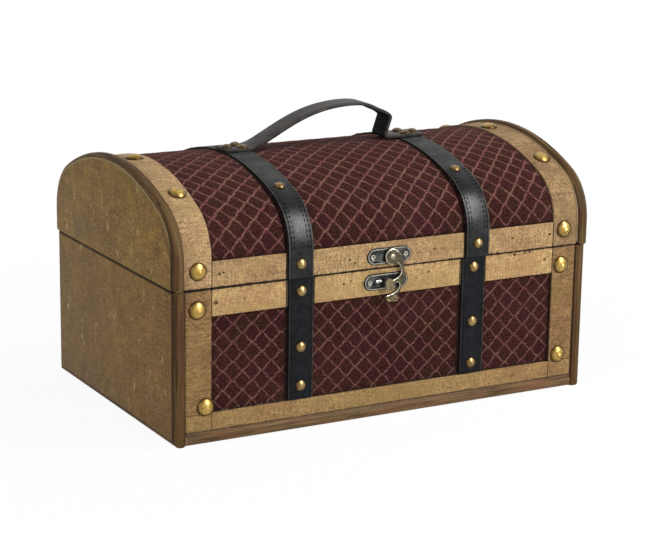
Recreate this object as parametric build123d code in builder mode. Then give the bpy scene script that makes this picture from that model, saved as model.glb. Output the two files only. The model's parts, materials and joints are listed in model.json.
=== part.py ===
# Domed wooden keepsake chest with patterned cloth, leather straps, domed nails, a swing hook and a handle.
# Millimetres. X runs along the front from left to right, the front faces -Y, Z is up.
# The origin is under the middle of the box, on the face that it rests on.

from math import atan2, cos, degrees, radians, sin
import os

from build123d import *

os.makedirs("parts", exist_ok=True)

# The whole box
box_length = 300.0
box_depth = 186.0
base_height = 97.2
seam_gap = 0.4
lid_wall_height = 16.4
arch_rise = 50.0
haunch_radius = 36.0
lid_overhang = 1.0

# Boards of the carcass
end_thickness = 8.2
end_outer_round = 3.4
end_inner_round = 3.0
end_field_step = 0.4
end_field_inset = 4.0
seam_round = 1.0
bottom_thickness = 7.5
bottom_front_round = 3.0
wall_thickness = 6.0
shell_thickness = 5.0
board_proud = 1.5

# Cloth and light wooden strips over the walls
cover_thickness = 0.8
strip_thickness = 2.0
strip_round = 0.4
base_side_strip_width = 17.5
base_top_strip_height = 17.2
base_bottom_strip_height = 11.5
lid_side_strip_width = 18.6
strip_joint_gap = 0.2
strap_side_gap = 0.6

# Leather straps, placed from the middle as shares of half the box's length
strap_width = 17.3
strap_thickness = 1.9
lid_strap_place_share = 0.4287
base_strap_place_share = 0.4193
strap_foot_gap = 0.6

# Domed nails
large_nail_radius = 5.75
large_nail_rise = 3.0
small_nail_radius = 3.65
small_nail_rise = 2.0
nail_rim_share = 0.46
shank_radius = 0.9
shank_length = 6.0
handle_shank_length = 9.0
shank_clearance = 0.05

# Places of the nails: heights over the base's bottom strip, and across the light strips
# from the end boards inwards, as shares of those widths.
base_large_height_shares = (0.843, 0.056)
base_left_across_shares = (0.446, 0.76)
base_right_across_shares = (0.617, 0.594)
lid_left_across_shares = (0.5, 0.59, 0.47, 0.5, 0.52)
lid_right_across_shares = (0.56, 0.4, 0.62, 0.5, 0.5)
lid_wall_nail_share = 0.69
lid_arc_nail_angle = 21.5
base_left_strap_shares = (0.894, 0.436, 0.117)
base_right_strap_shares = (0.918, 0.453, 0.095)
lid_strap_wall_share = 0.55
lid_strap_nail_angle = 20.5

# Carry handle: a flat strap, its path seen from the front, from inside one strap to the other
handle_width = 17.0
handle_thickness = 2.2
handle_rise = 24.2
handle_root_inset = 7.2
handle_bend_inset = 18.3
handle_tab_overrun = 0.6
handle_bend_radius = 2.0
handle_fold_radius = 1.7
handle_tail_radius = 20.0
handle_drop = 13.6
handle_drop_lean = 4.6
handle_bend_out = 2.2
handle_bend_fall = 1.7
handle_along_shares = (0.0, 0.115, 0.26, 0.42, 0.585, 0.72, 0.856, 0.942, 1.0)
handle_up_shares = (0.0, 0.17, 0.49, 0.785, 0.955, 1.0, 0.93, 0.765, 0.64)
handle_start_slope_share = 0.12
handle_end_slope_share = 0.75
handle_nail_outer_share = 0.3
handle_nail_inner_share = 0.19
handle_nail_pair_share = 0.31

# Swing hook and its plates, stamped from sheet
plate_length = 31.7
plate_height = 10.5
plate_thickness = 1.0
plate_edge_round = 0.3
plate_screw_inset = 4.0
plate_pivot_offset = 1.0
plate_pivot_rise = 0.4
keeper_post_rise = 1.5
hook_pivot_lift = 7.2
hook_boss_radius = 4.6
hook_boss_rise = 0.9
hook_eye_radius = 5.0
hook_thickness = 1.3
hook_gap = 0.1
rivet_radius = 1.2
rivet_head_radius = 1.85
rivet_head_rise = 0.8
pivot_clearance = 0.06
hook_reach = 25.4
# Across and up from the pivot, as shares of the reach: the arm's outer edge, the lip's outer
# edge, the lip's inner edge, the beak's end and the arm's inner edge, in order round the hook.
hook_back_shares = ((0.138, 0.142), (0.315, -0.13), (0.35, -0.4), (0.398, -0.6), (0.262, -0.785))
hook_lip_outer_shares = ((0.262, -0.785), (0.245, -0.88), (0.185, -0.975), (0.06, -1.035))
hook_lip_end_shares = ((-0.185, -1.035), (-0.185, -1.0))
hook_lip_inner_shares = ((-0.185, -1.0), (0.047, -0.933), (0.185, -0.839), (0.215, -0.72), (0.171, -0.668))
hook_beak_shares = ((0.0, -0.664), (-0.02, -0.643), (0.0, -0.618))
hook_throat_shares = ((0.0, -0.618), (0.115, -0.563), (0.248, -0.457), (0.213, -0.244), (0.06, -0.12))
hook_post_shares = (-0.118, -0.689)
tab_width = 8.6
tab_fall = 3.2
tab_bend_out = 2.6
tab_corner_round = 2.2
tab_root_lap = 0.7
slot_length = 5.6
slot_height = 3.1
post_width = 4.6
post_height = 4.4
post_corner_round = 1.6
post_head_width = 5.8
post_head_height = 7.8
post_head_thickness = 1.0
post_reach = 5.5
slot_post_gap = 0.5

# Countersunk cross-head screws
screw_head_radius = 2.05
screw_head_depth = 0.85
screw_head_proud = 0.2
screw_shank_radius = 1.0
screw_length = 7.0
screw_clearance = 0.05
cross_length = 2.3
cross_width = 0.5
cross_depth = 0.6

# Hinges on the back, placed from the middle as a share of half the box's length
hinge_place_share = 0.6533
hinge_width = 24.0
hinge_leaf_reach = 12.0
hinge_leaf_thickness = 0.9
hinge_leaf_round = 1.5
knuckle_radius = 1.9
knuckle_clearance = 0.3
knuckle_share = 0.36
pin_radius = 0.95
pin_clearance = 0.05
pin_end_rise = 0.5
hinge_screw_spread_share = 0.56
hinge_screw_reach_share = 0.64

# Overrun of cutting tools past what they cut
overrun = 2.0

# Degrees
right_angle = 90.0

# Planes and levels worked out from the sizes above
half_length = box_length / 2
half_depth = box_depth / 2
end_inner = half_length - end_thickness
strip_face = half_depth - board_proud
cover_face = strip_face - strip_thickness
wall_face = cover_face - cover_thickness
wall_inner = wall_face - wall_thickness
lid_bottom = base_height + seam_gap
spring_height = lid_bottom + lid_wall_height
lid_top = spring_height + arch_rise
lid_half_depth = half_depth + lid_overhang
lid_half_length = half_length + lid_overhang
lid_end_inner = lid_half_length - end_thickness
lid_strip_inset = lid_half_depth - strip_face
lid_cover_inset = lid_strip_inset + strip_thickness
lid_shell_inset = lid_cover_inset + cover_thickness
lid_hollow_inset = lid_shell_inset + shell_thickness
bottom_strip_top = bottom_thickness + base_bottom_strip_height
strap_place = lid_strap_place_share * half_length
base_strap_place = base_strap_place_share * half_length
hinge_place = hinge_place_share * half_length
hook_pivot_height = lid_bottom + hook_pivot_lift
latch_plate_height = hook_pivot_height + plate_pivot_rise
post_place = hook_post_shares[0] * hook_reach
post_level = hook_pivot_height + hook_post_shares[1] * hook_reach
keeper_height = post_level + keeper_post_rise
sides = (("left", -1), ("right", 1))
faces = (("front", -1), ("back", 1))


class Arch:
    """Three-centred arch across the box: a crown between two tighter haunches, over upright walls."""

    def __init__(self, half, top, haunch):
        rise = top - spring_height
        self.half = half
        self.top = top
        self.haunch = haunch
        self.haunch_place = half - haunch
        self.crown = (self.haunch_place**2 + rise**2 - haunch**2) / (2 * (rise - haunch))
        self.crown_height = top - self.crown
        self.lean = atan2(self.haunch_place, spring_height - self.crown_height)

    def inset(self, amount):
        """The parallel arch that lies this far inside."""
        return Arch(self.half - amount, self.top - amount, self.haunch - amount)

    def point(self, angle):
        """Depth and height of the point whose outward normal leans this far back from upright."""
        if abs(angle) <= self.lean:
            return self.crown * sin(angle), self.crown_height + self.crown * cos(angle)
        side = 1 if angle > 0 else -1
        depth = side * self.haunch_place + self.haunch * sin(angle)
        return depth, spring_height + self.haunch * cos(angle)

    def seat(self, across, angle):
        """Plane on the arch at this place along the box, facing outwards."""
        depth, height = self.point(angle)
        return Plane(origin=(across, depth, height), x_dir=(1, 0, 0), z_dir=(0, sin(angle), cos(angle)))

    def outline(self, bottom):
        """Closed outline down to a level, for the current line builder on the YZ plane."""
        middle = (self.lean + radians(right_angle)) / 2
        corner = Line((self.half, bottom), (-self.half, bottom))
        front = Line(corner @ 1, (-self.half, spring_height))
        first = ThreePointArc(front @ 1, self.point(-middle), self.point(-self.lean))
        crown = ThreePointArc(first @ 1, self.point(0), self.point(self.lean))
        last = ThreePointArc(crown @ 1, self.point(middle), (self.half, spring_height))
        Line(last @ 1, corner @ 0)


lid_arch = Arch(lid_half_depth, lid_top, haunch_radius)
strip_arch = lid_arch.inset(lid_strip_inset)
cover_arch = lid_arch.inset(lid_cover_inset)
shell_arch = lid_arch.inset(lid_shell_inset)
hollow_arch = lid_arch.inset(lid_hollow_inset)
# The lid's straps lie over the light strip on the wall and settle on the cloth at the crest.
strap_under_arch = Arch(strip_face, cover_arch.top, strip_face - lid_arch.haunch_place)
strap_arch = strap_under_arch.inset(-strap_thickness)


def wall_seat(side, across, level, depth=strip_face):
    """Plane on an upright wall, front or back, facing outwards."""
    return Plane(origin=(across, side * depth, level), x_dir=(-side, 0, 0), z_dir=(0, side, 0))


def keep(piece, name):
    """Name a finished piece and write it."""
    piece.part.label = name
    export_step(piece.part, f"parts/{name}.step")


def drill(seats, radius, depth):
    """Holes of this depth below each seat, into the part in hand."""
    with Locations(*seats):
        Cylinder(radius, 2 * depth, mode=Mode.SUBTRACT)


def slab(low, high):
    """Box between two corners, in the part in hand."""
    sizes = [b - a for a, b in zip(low, high)]
    middle = [(a + b) / 2 for a, b in zip(low, high)]
    with Locations(Vector(*middle)):
        Box(*sizes)


def band(start, end, outer, inner, bottom=lid_bottom):
    """Bent sheet along the box from start to end, between two arches and open at the bottom."""
    with BuildSketch(Plane.YZ.offset(start)) as profile:
        with BuildLine():
            outer.outline(bottom)
        make_face()
        with BuildLine():
            inner.outline(bottom - overrun)
        make_face(mode=Mode.SUBTRACT)
    extrude(profile.sketch, amount=end - start)


# Where the nails and screws sit
def strip_across(side, share, inner_edge, width):
    """Place across an upright light strip, from the end board inwards."""
    return side * (inner_edge - share * width)


def base_large_seats(face):
    seats = []
    reach = base_height - bottom_strip_top
    for side, shares in ((-1, base_left_across_shares), (1, base_right_across_shares)):
        for up, share in zip(base_large_height_shares, shares):
            across = strip_across(side, share, end_inner, base_side_strip_width)
            seats.append(wall_seat(face, across, bottom_strip_top + up * reach))
    return seats


def base_strap_seats(face):
    seats = []
    reach = base_height - bottom_strip_top
    for side, shares in ((-1, base_left_strap_shares), (1, base_right_strap_shares)):
        for up in shares:
            level = bottom_strip_top + up * reach
            seats.append(wall_seat(face, side * base_strap_place, level, cover_face + strap_thickness))
    return seats


def lid_large_seats():
    seats = []
    level = lid_bottom + lid_wall_nail_share * lid_wall_height
    angles = [radians(lid_arc_nail_angle * step) for step in (-1, 0, 1)]
    for side, shares in ((-1, lid_left_across_shares), (1, lid_right_across_shares)):
        places = [strip_across(side, share, lid_end_inner, lid_side_strip_width) for share in shares]
        seats.append(wall_seat(-1, places[0], level))
        seats += [strip_arch.seat(place, angle) for place, angle in zip(places[1:4], angles)]
        seats.append(wall_seat(1, places[4], level))
    return seats


def lid_strap_seats(side):
    level = lid_bottom + lid_strap_wall_share * lid_wall_height
    across = side * strap_place
    seats = [wall_seat(face, across, level, strap_arch.half) for face in (-1, 1)]
    seats += [strap_arch.seat(across, step * radians(lid_strap_nail_angle)) for step in (-1, 1)]
    return seats


def handle_seats(side):
    """Three nails through each end tab of the handle: one at its end, a pair side by side."""
    level = strap_arch.top + handle_thickness
    outer = side * (strap_place + handle_nail_outer_share * strap_width)
    inner = side * (strap_place - handle_nail_inner_share * strap_width)
    apart = handle_nail_pair_share * handle_width
    places = ((outer, 0), (inner, -apart), (inner, apart))
    return [Plane(origin=(across, depth, level)) for across, depth in places]


def plate_screw_seats(centre, level):
    reach = plate_length / 2 - plate_screw_inset
    ends = (centre - reach, centre + reach)
    return [wall_seat(-1, across, level, strip_face + plate_thickness) for across in ends]


hinge_depth = strip_face + knuckle_clearance + knuckle_radius
hinge_level = base_height + seam_gap / 2


def hinge_screw_seats(centre, up):
    """Two screws through one hinge leaf; up is 1 for the lid's leaf and -1 for the base's."""
    spread = hinge_screw_spread_share * hinge_width / 2
    level = hinge_level + up * hinge_screw_reach_share * hinge_leaf_reach
    depth = strip_face + hinge_leaf_thickness
    return [wall_seat(1, centre + step * spread, level, depth) for step in (-1, 1)]


latch_screws = plate_screw_seats(-plate_pivot_offset, latch_plate_height)
keeper_screws_seats = plate_screw_seats(post_place, keeper_height)
hinge_base_screws = []
hinge_lid_screws = []
for side_name, side in sides:
    hinge_base_screws += hinge_screw_seats(side * hinge_place, -1)
    hinge_lid_screws += hinge_screw_seats(side * hinge_place, 1)
nail_hole = shank_radius + shank_clearance
screw_hole = screw_shank_radius + screw_clearance
base_screws = {-1: keeper_screws_seats, 1: hinge_base_screws}
lid_screws = {-1: latch_screws, 1: hinge_lid_screws}


def drill_base(face):
    """Every nail and screw hole on one face of the base."""
    drill(base_large_seats(face), nail_hole, shank_length)
    drill(base_strap_seats(face), nail_hole, shank_length)
    drill(base_screws[face], screw_hole, screw_length)


def drill_lid():
    """Every nail and screw hole in the lid."""
    drill(lid_large_seats(), nail_hole, shank_length)
    for _, side in sides:
        drill(lid_strap_seats(side), nail_hole, shank_length)
        drill(handle_seats(side), nail_hole, handle_shank_length)
    for _, face in faces:
        drill(lid_screws[face], screw_hole, screw_length)


# End boards of the base: rounded outside, with a raised field inside the rounding
for side_name, side in sides:
    with BuildPart() as base_end_board:
        with BuildSketch(Plane.YZ.offset(side * end_inner)):
            with Locations((0, base_height / 2)):
                Rectangle(box_depth, base_height)
        extrude(amount=side * (end_thickness - end_field_step))
        outer_face = base_end_board.faces().sort_by(Axis.X)[-1 if side > 0 else 0]
        inner_face = base_end_board.faces().sort_by(Axis.X)[0 if side > 0 else -1]
        outer_edges = outer_face.edges()
        top_edge = outer_edges.sort_by(Axis.Z)[-1]
        fillet([edge for edge in outer_edges if edge is not top_edge], end_outer_round)
        inner_uprights = inner_face.edges().filter_by(Axis.Z)
        fillet(inner_uprights, end_inner_round)
        with BuildSketch(Plane.YZ.offset(side * (half_length - end_field_step))):
            field_height = base_height - end_field_inset - seam_round
            with Locations((0, end_field_inset + field_height / 2)):
                Rectangle(box_depth - 2 * end_field_inset, field_height)
        extrude(amount=side * end_field_step)
    keep(base_end_board, f"base_{side_name}_end_board")

# Bottom board between the end boards, its front and back edges rounded
with BuildPart() as base_bottom_board:
    slab((-end_inner, -half_depth, 0), (end_inner, half_depth, bottom_thickness))
    long_edges = base_bottom_board.edges().filter_by(Axis.X)
    fillet(long_edges, bottom_front_round)
keep(base_bottom_board, "base_bottom_board")

# Front and back walls, cloth, light strips and straps of the base
top_strip_bottom = base_height - base_top_strip_height
side_strip_inner = end_inner - base_side_strip_width
strap_slot = strap_width / 2 + strap_side_gap
for face_name, face in faces:
    with BuildPart() as base_wall:
        near, far = sorted((face * wall_inner, face * wall_face))
        slab((-end_inner, near, bottom_thickness), (end_inner, far, base_height))
        drill_base(face)
    keep(base_wall, f"base_{face_name}_wall")

    with BuildPart() as base_cover:
        near, far = sorted((face * wall_face, face * cover_face))
        slab((-end_inner, near, bottom_thickness), (end_inner, far, base_height))
        drill_base(face)
    keep(base_cover, f"base_{face_name}_cover")

    near, far = sorted((face * cover_face, face * strip_face))
    side_inner = side_strip_inner - strip_joint_gap
    strips = {
        "bottom_strip": ((-end_inner, bottom_thickness), (end_inner, bottom_strip_top)),
        "left_strip": ((-end_inner, bottom_strip_top), (-side_strip_inner, base_height)),
        "right_strip": ((side_strip_inner, bottom_strip_top), (end_inner, base_height)),
        "top_left_strip": ((-side_inner, top_strip_bottom), (-base_strap_place - strap_slot, base_height)),
        "top_middle_strip": (
            (-base_strap_place + strap_slot, top_strip_bottom), (base_strap_place - strap_slot, base_height),
        ),
        "top_right_strip": ((base_strap_place + strap_slot, top_strip_bottom), (side_inner, base_height)),
    }
    for strip_name, (low, high) in strips.items():
        with BuildPart() as base_strip:
            slab((low[0], near, low[1]), (high[0], far, high[1]))
            shown_face = base_strip.faces().sort_by(Axis.Y)[-1 if face > 0 else 0]
            fillet(shown_face.edges(), strip_round)
            drill_base(face)
        keep(base_strip, f"base_{face_name}_{strip_name}")

    for side_name, side in sides:
        with BuildPart() as base_strap:
            near_strap, far_strap = sorted((face * cover_face, face * (cover_face + strap_thickness)))
            middle = side * base_strap_place
            low = (middle - strap_width / 2, near_strap, bottom_strip_top + strap_foot_gap)
            high = (middle + strap_width / 2, far_strap, base_height)
            slab(low, high)
            drill_base(face)
        keep(base_strap, f"base_{face_name}_{side_name}_strap")


def domed_nail(radius, rise, shank, length):
    """One nail, its head's underside on the origin: a dome with a tighter rim over a plain shank."""
    rim = nail_rim_share * rise
    rim_place = radius - rim
    lift = rise - rim
    centre_depth = (rim_place**2 - lift**2) / (2 * lift)
    lean = degrees(atan2(rim_place, centre_depth))
    with BuildPart() as nail:
        with BuildSketch(Plane.XZ):
            with BuildLine():
                edge = CenterArc((rim_place, 0), rim, 0, right_angle - lean)
                crown = CenterArc((0, -centre_depth), centre_depth + rise, right_angle - lean, lean)
                Polyline(crown @ 1, (0, 0), edge @ 0)
            make_face()
        revolve(axis=Axis.Z)
        Cylinder(shank, length, align=(Align.CENTER, Align.CENTER, Align.MAX))
    return nail.part.solid()


def cross_screw(length):
    """One countersunk screw, its head's flat on the origin and its cross recess open upwards."""
    with BuildPart() as screw:
        with BuildSketch(Plane.XZ):
            with BuildLine():
                crown_radius = (screw_head_radius**2 + screw_head_proud**2) / (2 * screw_head_proud)
                crown = RadiusArc((0, screw_head_proud), (screw_head_radius, 0), crown_radius)
                Polyline(
                    crown @ 1, (screw_shank_radius, -screw_head_depth), (screw_shank_radius, -length),
                    (0, -length), crown @ 0,
                )
            make_face()
        revolve(axis=Axis.Z)
        with Locations((0, 0, screw_head_proud)):
            Box(cross_length, cross_width, 2 * cross_depth, mode=Mode.SUBTRACT)
            Box(cross_width, cross_length, 2 * cross_depth, mode=Mode.SUBTRACT)
    return screw.part.solid()


def place_all(shape, seats):
    """Copies of one solid on every seat, in the part in hand."""
    with Locations(*seats):
        add(shape)


large_nail = domed_nail(large_nail_radius, large_nail_rise, shank_radius, shank_length)
small_nail = domed_nail(small_nail_radius, small_nail_rise, shank_radius, shank_length)
long_nail = domed_nail(small_nail_radius, small_nail_rise, shank_radius, handle_shank_length)
screw = cross_screw(screw_length)

with BuildPart() as base_large_nails:
    for _, face in faces:
        place_all(large_nail, base_large_seats(face))
keep(base_large_nails, "base_large_nails")

with BuildPart() as base_strap_nails:
    for _, face in faces:
        place_all(small_nail, base_strap_seats(face))
keep(base_strap_nails, "base_strap_nails")

# End boards of the lid: arched, closed right across, rounded outside with a raised field
for side_name, side in sides:
    with BuildPart() as lid_end_board:
        with BuildSketch(Plane.YZ.offset(side * lid_end_inner)):
            with BuildLine():
                lid_arch.outline(lid_bottom)
            make_face()
        extrude(amount=side * (end_thickness - end_field_step))
        outer_face = lid_end_board.faces().sort_by(Axis.X)[-1 if side > 0 else 0]
        inner_face = lid_end_board.faces().sort_by(Axis.X)[0 if side > 0 else -1]
        seam_edge = outer_face.edges().sort_by(Axis.Z)[0]
        fillet([edge for edge in outer_face.edges() if edge is not seam_edge], end_outer_round)
        inner_seam_edge = inner_face.edges().sort_by(Axis.Z)[0]
        fillet([edge for edge in inner_face.edges() if edge is not inner_seam_edge], end_inner_round)
        with BuildSketch(Plane.YZ.offset(side * (lid_half_length - end_field_step))):
            with BuildLine():
                lid_arch.inset(end_field_inset).outline(lid_bottom + seam_round)
            make_face()
        extrude(amount=side * end_field_step)
    keep(lid_end_board, f"lid_{side_name}_end_board")

# Bent wooden shell of the lid with its cloth
with BuildPart() as lid_shell:
    band(-lid_end_inner, lid_end_inner, shell_arch, hollow_arch)
    drill_lid()
keep(lid_shell, "lid_shell")

with BuildPart() as lid_cover:
    band(-lid_end_inner, lid_end_inner, cover_arch, shell_arch)
    drill_lid()
keep(lid_cover, "lid_cover")

# Light strips of the lid: one arched strip beside each end board, one along each wall
lid_strip_inner = lid_end_inner - lid_side_strip_width
for side_name, side in sides:
    with BuildPart() as lid_arc_strip:
        start, end = sorted((side * lid_strip_inner, side * lid_end_inner))
        band(start, end, strip_arch, cover_arch)
        drill_lid()
    keep(lid_arc_strip, f"lid_{side_name}_arc_strip")

for face_name, face in faces:
    with BuildPart() as lid_wall_strip:
        near, far = sorted((face * cover_face, face * strip_face))
        reach = lid_strip_inner - strip_joint_gap
        slab((-reach, near, lid_bottom), (reach, far, spring_height))
        shown_face = lid_wall_strip.faces().sort_by(Axis.Y)[-1 if face > 0 else 0]
        fillet(shown_face.edges(), strip_round)
        drill_lid()
    keep(lid_wall_strip, f"lid_{face_name}_strip")

# Leather straps over the lid
for side_name, side in sides:
    with BuildPart() as lid_strap:
        middle = side * strap_place
        band(middle - strap_width / 2, middle + strap_width / 2, strap_arch, strap_under_arch)
        drill_lid()
    keep(lid_strap, f"lid_{side_name}_strap")

# Carry handle: one strap nailed flat at both ends, arched between them and folded back on the right
with BuildPart() as carry_handle:
    with BuildSketch(Plane.XZ):
        with BuildLine():
            root_level = strap_arch.top + handle_thickness / 2
            tab_end = strap_place + strap_width / 2 + handle_tab_overrun
            root_place = strap_place - handle_root_inset
            span = root_place + strap_place - handle_bend_inset
            arch_points = [
                (-root_place + along * span, root_level + up * handle_rise)
                for along, up in zip(handle_along_shares, handle_up_shares)
            ]
            Line((-tab_end, root_level), arch_points[0])
            arch = Spline(
                arch_points,
                tangents=[(1, handle_start_slope_share), (1, -handle_end_slope_share)],
            )
            bend = arch @ 1 + Vector(handle_bend_out, -handle_bend_fall)
            fold = bend - Vector(handle_drop_lean, handle_drop)
            FilletPolyline(
                arch @ 1, bend, fold, (root_place, root_level), (tab_end, root_level),
                radius=(handle_bend_radius, handle_fold_radius, handle_tail_radius),
            )
        trace(line_width=handle_thickness)
    extrude(amount=handle_width / 2, both=True)
    for _, side in sides:
        drill(handle_seats(side), nail_hole, handle_shank_length)
keep(carry_handle, "carry_handle")

# Nails of the lid and the handle
with BuildPart() as lid_large_nails:
    place_all(large_nail, lid_large_seats())
keep(lid_large_nails, "lid_large_nails")

with BuildPart() as lid_strap_nails:
    for _, side in sides:
        place_all(small_nail, lid_strap_seats(side))
keep(lid_strap_nails, "lid_strap_nails")

with BuildPart() as handle_nails:
    for _, side in sides:
        place_all(long_nail, handle_seats(side))
keep(handle_nails, "handle_nails")


def stamped_plate(centre, level):
    """Round-ended plate on the front, in the part in hand."""
    with BuildSketch(Plane.XZ.offset(strip_face)) as outline:
        with Locations((centre, level)):
            SlotOverall(plate_length, plate_height)
    extrude(outline.sketch, amount=plate_thickness)


def countersink(seats):
    """Conical seats for screw heads."""
    with Locations(*seats):
        CounterSinkHole(screw_hole, screw_head_radius + screw_clearance, plate_length)


# Upper plate on the lid, with a round boss that carries the hook
hook_back = strip_face + plate_thickness + hook_boss_rise + hook_gap
with BuildPart() as latch_plate:
    stamped_plate(-plate_pivot_offset, latch_plate_height)
    rim = latch_plate.faces().sort_by(Axis.Y)[0].edges()
    fillet(rim, plate_edge_round)
    with BuildSketch(Plane.XZ.offset(strip_face)):
        with Locations((0, hook_pivot_height)):
            Circle(hook_boss_radius)
    extrude(amount=plate_thickness + hook_boss_rise)
    countersink(latch_screws)
    with Locations(wall_seat(-1, 0, hook_pivot_height, hook_back)):
        Cylinder(rivet_radius + pivot_clearance, plate_length, mode=Mode.SUBTRACT)
keep(latch_plate, "latch_plate")

rivet_length = plate_thickness + hook_boss_rise + hook_gap + hook_thickness + hook_gap
rivet_seat = wall_seat(-1, 0, hook_pivot_height, strip_face + rivet_length)
with BuildPart() as latch_rivet:
    place_all(domed_nail(rivet_head_radius, rivet_head_rise, rivet_radius, rivet_length), [rivet_seat])
keep(latch_rivet, "latch_rivet")

with BuildPart() as latch_plate_screws:
    place_all(screw, latch_screws)
keep(latch_plate_screws, "latch_plate_screws")

def hook_points(shares):
    """Points on the hook's outline, from shares of its reach."""
    return [(across * hook_reach, hook_pivot_height + up * hook_reach) for across, up in shares]


# Swing hook: a flat stamping with an eye, an arm, a beak that meets the post and a lip under it
with BuildPart() as latch_hook:
    with BuildSketch(Plane.XZ.offset(hook_back)):
        with BuildLine():
            back_edge = Spline(hook_points(hook_back_shares))
            lip_outer = Spline(hook_points(hook_lip_outer_shares))
            Polyline(lip_outer @ 1, *hook_points(hook_lip_end_shares))
            lip_inner = Spline(hook_points(hook_lip_inner_shares))
            beak = ThreePointArc(hook_points(hook_beak_shares))
            Line(lip_inner @ 1, beak @ 0)
            throat = Spline(hook_points(hook_throat_shares))
            Line(throat @ 1, back_edge @ 0)
        make_face()
        with Locations((0, hook_pivot_height)):
            Circle(hook_eye_radius)
    extrude(amount=hook_thickness)
    root_level = hook_points(hook_lip_outer_shares)[-1][1]
    slant = atan2(tab_bend_out, tab_fall)
    tab_middle = hook_points(hook_lip_end_shares)[0][0] + tab_width / 2
    tab_root = (tab_middle, -hook_back - hook_thickness / 2, root_level + tab_root_lap)
    tab_plane = Plane(origin=tab_root, x_dir=(1, 0, 0), z_dir=(0, -cos(slant), sin(slant)))
    tab_reach = tab_fall / cos(slant)
    with BuildSketch(tab_plane) as tab_outline:
        with Locations((0, -tab_reach / 2)):
            Rectangle(tab_width, tab_reach)
        fillet(tab_outline.vertices().sort_by(Axis.Y)[:2], tab_corner_round)
    extrude(amount=hook_thickness / 2, both=True)
    with Locations(Plane(origin=tab_root, z_dir=(1, 0, 0))):
        Cylinder(hook_thickness / 2, tab_width)
    with Locations(wall_seat(-1, 0, hook_pivot_height, hook_back)):
        Cylinder(rivet_radius + pivot_clearance, plate_length, mode=Mode.SUBTRACT)
keep(latch_hook, "latch_hook")

# Keeper plate on the base, with a headed post bent up out of a slot
with BuildPart() as latch_keeper_plate:
    stamped_plate(post_place, keeper_height)
    rim = latch_keeper_plate.faces().sort_by(Axis.Y)[0].edges()
    fillet(rim, plate_edge_round)
    with BuildSketch(Plane.XZ.offset(strip_face)):
        with Locations((post_place - post_width / 2 - slot_post_gap - slot_length / 2, keeper_height)):
            Rectangle(slot_length, slot_height)
    extrude(amount=plate_thickness, mode=Mode.SUBTRACT)
    with BuildSketch(Plane.XZ.offset(strip_face)):
        with Locations((post_place, post_level)):
            RectangleRounded(post_width, post_height, post_corner_round)
    extrude(amount=post_reach)
    with BuildSketch(Plane.XZ.offset(strip_face + post_reach - post_head_thickness)):
        with Locations((post_place, post_level)):
            SlotOverall(post_head_height, post_head_width, rotation=90)
    extrude(amount=post_head_thickness)
    countersink(keeper_screws_seats)
keep(latch_keeper_plate, "latch_keeper_plate")

with BuildPart() as keeper_screws:
    place_all(screw, keeper_screws_seats)
keep(keeper_screws, "keeper_screws")


# Hinges: two leaves that share one barrel of three knuckles round a pin
def hinge_leaf(leaf, centre, up, knuckles):
    """Leaf with its knuckles, each given by where it starts and ends along the barrel."""
    near = knuckle_radius + knuckle_clearance
    levels = sorted((hinge_level + up * near, hinge_level + up * hinge_leaf_reach))
    outer = strip_face + hinge_leaf_thickness
    slab((centre - hinge_width / 2, strip_face, levels[0]), (centre + hinge_width / 2, outer, levels[1]))
    far_corners = leaf.edges().filter_by(Axis.Y).group_by(Axis.Z)[-1 if up > 0 else 0]
    fillet(far_corners, hinge_leaf_round)
    for start, end in knuckles:
        middle = centre + (start + end) / 2
        low, high = sorted((hinge_level, hinge_level + up * (near + overrun)))
        slab((centre + start, strip_face + knuckle_clearance, low), (centre + end, outer, high))
        with Locations(Plane(origin=(middle, hinge_depth, hinge_level), z_dir=(1, 0, 0))):
            Cylinder(knuckle_radius, end - start)
    with Locations(Plane(origin=(centre, hinge_depth, hinge_level), z_dir=(1, 0, 0))):
        Cylinder(pin_radius + pin_clearance, hinge_width + overrun, mode=Mode.SUBTRACT)


middle_half = knuckle_share * hinge_width / 2
outer_half = middle_half + knuckle_clearance
lid_knuckles = ((-middle_half, middle_half),)
base_knuckles = ((-hinge_width / 2, -outer_half), (outer_half, hinge_width / 2))
for side_name, side in sides:
    centre = side * hinge_place
    with BuildPart() as hinge_base_leaf:
        hinge_leaf(hinge_base_leaf, centre, -1, base_knuckles)
        countersink(hinge_screw_seats(centre, -1))
    keep(hinge_base_leaf, f"hinge_{side_name}_base_leaf")

    with BuildPart() as hinge_lid_leaf:
        hinge_leaf(hinge_lid_leaf, centre, 1, lid_knuckles)
        countersink(hinge_screw_seats(centre, 1))
    keep(hinge_lid_leaf, f"hinge_{side_name}_lid_leaf")

    with BuildPart() as hinge_pin:
        with Locations(Plane(origin=(centre, hinge_depth, hinge_level), z_dir=(1, 0, 0))):
            Cylinder(pin_radius, hinge_width + 2 * pin_end_rise)
    keep(hinge_pin, f"hinge_{side_name}_pin")

with BuildPart() as hinge_base_screws_group:
    place_all(screw, hinge_base_screws)
keep(hinge_base_screws_group, "hinge_base_screws")

with BuildPart() as hinge_lid_screws_group:
    place_all(screw, hinge_lid_screws)
keep(hinge_lid_screws_group, "hinge_lid_screws")
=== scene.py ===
# %% [markdown]
# # A domed keepsake chest
# The CAD model gives every board, strip, strap and nail its size and place. This lesson dresses that frame:
# soft edges on the hard pieces, a woven cloth with a raised diamond lattice, stitched leather, aged brass
# and bronze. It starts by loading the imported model, and nothing else is read from disk.

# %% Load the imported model
import json
import math

import bmesh
import bpy
from mathutils import Matrix, Vector

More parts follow.
